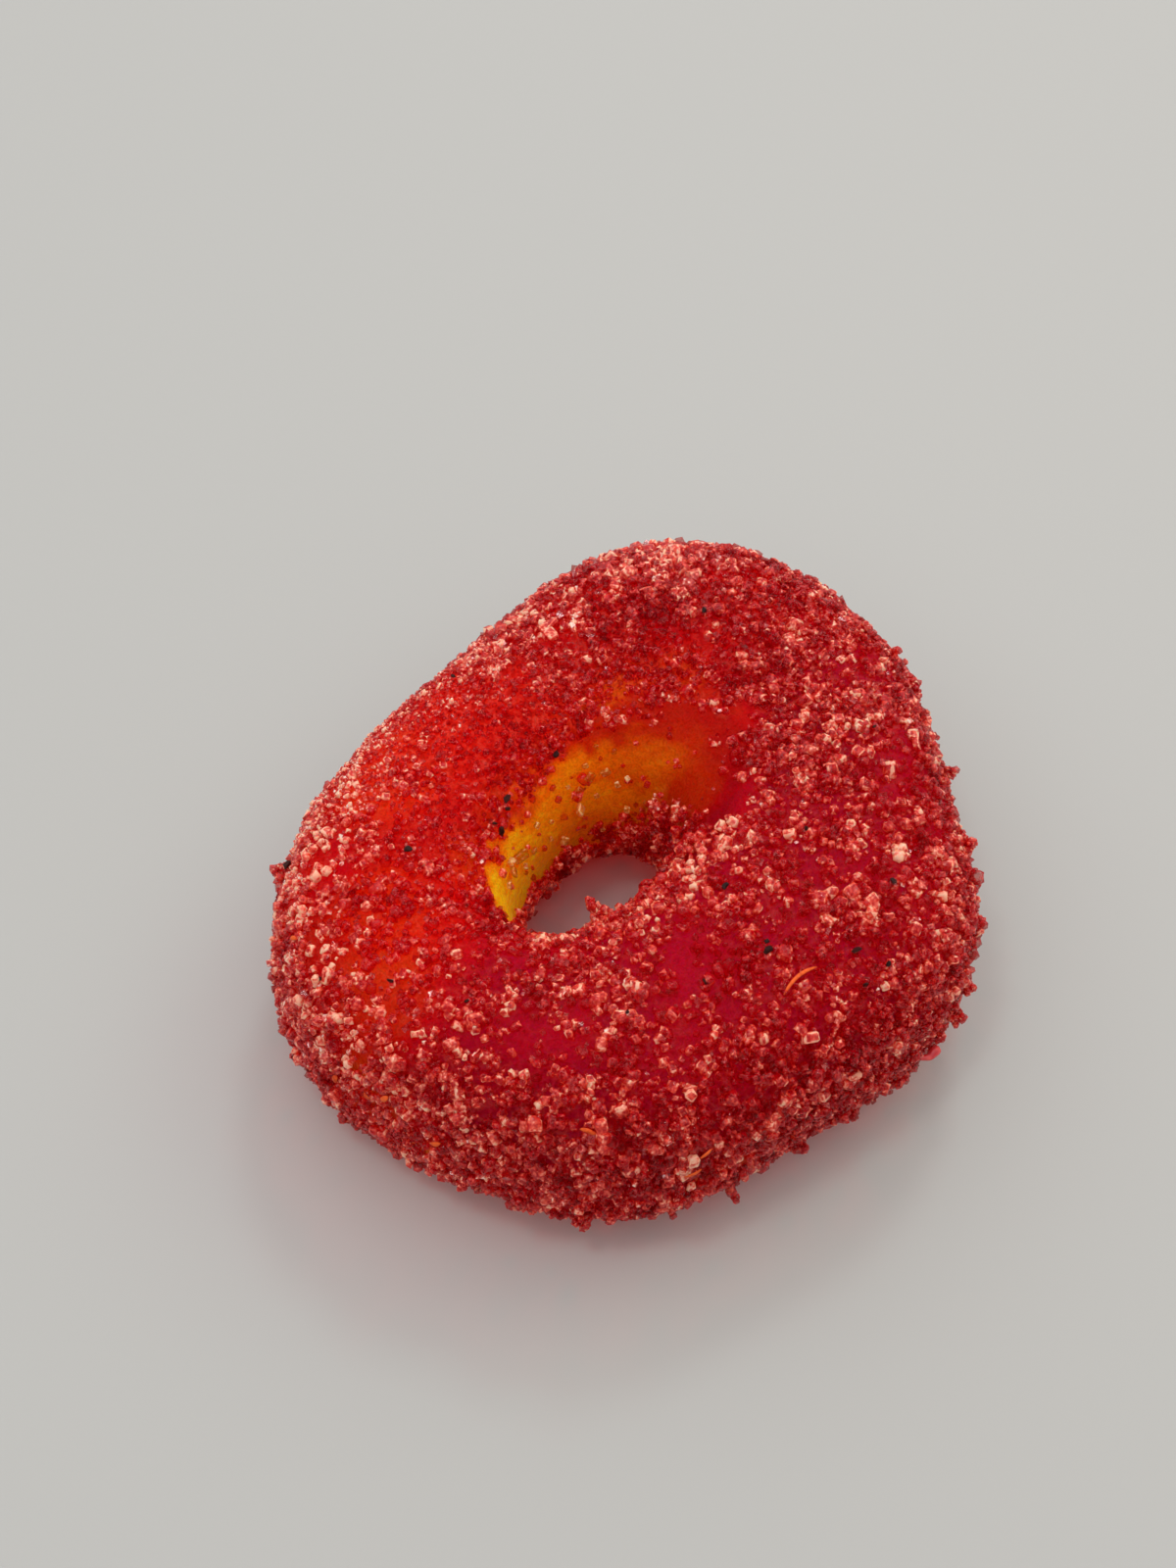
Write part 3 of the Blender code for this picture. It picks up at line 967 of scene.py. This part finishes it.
def syrupMaterial():
    # dried red syrup: smooth and wet-looking, milky where it is thick, clouded over 0.7 mm
    material, tree = newMaterial("driedSyrup")
    place = addNode(tree, "TexCoord", {}).outputs["Object"]
    cloud = addNode(tree, "TexNoise", {"Scale": 1.5 / mm, "Detail": 2, "Vector": place})
    colour = addNode(tree, "ValToRGB", {
        "Fac": cloud, "stops": [(0.3, "#B82030"), (0.7, "#E06058")]})
    surface = addNode(tree, "BsdfPrincipled", {
        "Base Color": colour, "Roughness": 0.25, "IOR": 1.47,
        "Subsurface Weight": 1.0, "Subsurface Scale": 0.4 * mm, "Subsurface Radius": (1.0, 0.3, 0.2)})
    addNode(tree, "OutputMaterial", {"Surface": lampsThrough(tree, surface, "#FF9080")})
    return material


floorHalf = 1.5  # metres


def makeFloor():
    # a square board under the ring, at height 0
    mesh = bpy.data.meshes.new("floor")
    corners = [(x * floorHalf, y * floorHalf, 0) for x, y in ((-1, -1), (1, -1), (1, 1), (-1, 1))]
    mesh.from_pydata(corners, [], [(0, 1, 2, 3)])
    # pale painted board, matt
    material, tree = newMaterial("paleBoard")
    surface = addNode(tree, "BsdfPrincipled", {"Base Color": linear("#A3A29E"), "Roughness": 0.6})
    addNode(tree, "OutputMaterial", {"Surface": surface})
    mesh.materials.append(material)
    floor = newObject("floor", mesh)


view = {
    "lookAt": (2.91, 6.55, 5),  # mm
    "distance": 120.25,  # mm
    "elevation": 55,  # degrees above the table
    "heading": -50,  # degrees, from +Y
    "lens": 54.11,  # mm on a frame 36 mm high
}


def pointing(heading, height):
    # a unit vector along the heading, in degrees from +Y, and upwards by height degrees
    heading, height = math.radians(heading), math.radians(height)
    level = Vector((-math.sin(heading), math.cos(heading), 0)) * math.cos(height)
    return level + Vector((0, 0, math.sin(height)))


def makeCamera():
    # it looks along the heading and down by the elevation, and stands back from lookAt by the distance
    camera = bpy.data.cameras.new("camera")
    camera.sensor_fit, camera.sensor_height, camera.lens = "VERTICAL", 36, view["lens"]
    camera.clip_start = 0.005
    holder = newObject("camera", camera)
    forward = pointing(view["heading"], -view["elevation"])
    holder.location = (Vector(view["lookAt"]) - forward * view["distance"]) * mm
    holder.rotation_euler = (math.radians(90 - view["elevation"]), 0, math.radians(view["heading"]))
    bpy.context.scene.camera = holder


lamps = {
    # bearing from the ring in degrees (0 is away from the camera, + to the right), height in degrees,
    # distance and size in metres, power in watts, colour
    "overhead": (-25, 78, 0.3, 0.8, 1.54, "#F8FBFF"),
    "right": (60, 42, 0.5, 0.25, 0.45, "#FFE8D0"),
    "sparkleBack": (15, 50, 0.5, 0.08, 0.36, "#FFFFFF"),
    "sparkleTop": (-110, 75, 0.5, 0.08, 0.32, "#FFFFFF"),
}
roomLight = 0.6  # strength of the even white light from all round


def makeLights():
    # each lamp is a square that faces the ring from its bearing and height
    for name, (bearing, height, distance, size, power, colour) in lamps.items():
        light = bpy.data.lights.new(name, "AREA")
        light.size, light.energy = size, power
        light.color = linear(colour)[:3]
        holder = newObject(name, light)
        away = pointing(view["heading"] - bearing, height)
        holder.location = away * distance
        holder.rotation_euler = away.to_track_quat("Z", "Y").to_euler()
    world = bpy.data.worlds.new("softRoom")
    bpy.context.scene.world = world
    world.use_nodes = True
    background = world.node_tree.nodes["Background"]
    background.inputs["Color"].default_value = linear("#FFFFFF")
    background.inputs["Strength"].default_value = roomLight


def onRing(piece, material):
    # the piece belongs to the ring: it gets its material and rides on the ring's body
    piece.data.materials.append(material)
    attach(piece, "root")
    print(f"{piece.name}: {len(piece.data.polygons)} faces")


bpy.context.scene.view_settings.view_transform = "Standard"

lattice = Lattice()
print("skin:", round(lattice.area.sum()), "square mm")

ring = makeJelly()
onRing(ring, jellyMaterial())
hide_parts("gummy_ring")

for kindName in grainKinds:
    grains = makeSugar(kindName, lattice)
    grains.visible_shadow = sugarLooks[kindName]["castsShadow"]
    onRing(grains, sugarMaterial(kindName, sugarLooks[kindName]))
onRing(makeClumps(), sugarMaterial("clumpSugar", sugarLooks["mediumSugar"]))
onRing(makeCrystals("bigCrystals", bigCrystals), sugarMaterial("crystalSugar", sugarLooks["coarseSugar"]))
onRing(makeCrystals("amberCrystals", amberCrystals), sugarMaterial("amberSugar", sugarLooks["amberCrystals"]))
onRing(makeSpecks(), chipMaterial("darkSpice", "#0A0404", "#34120E"))
onRing(makeFlakes(), chipMaterial("orangeFlake", "#A82408", "#E05C24"))
onRing(makeDrip(), syrupMaterial())

makeFloor()
makeCamera()
makeLights()
print("floor, camera and lamps")
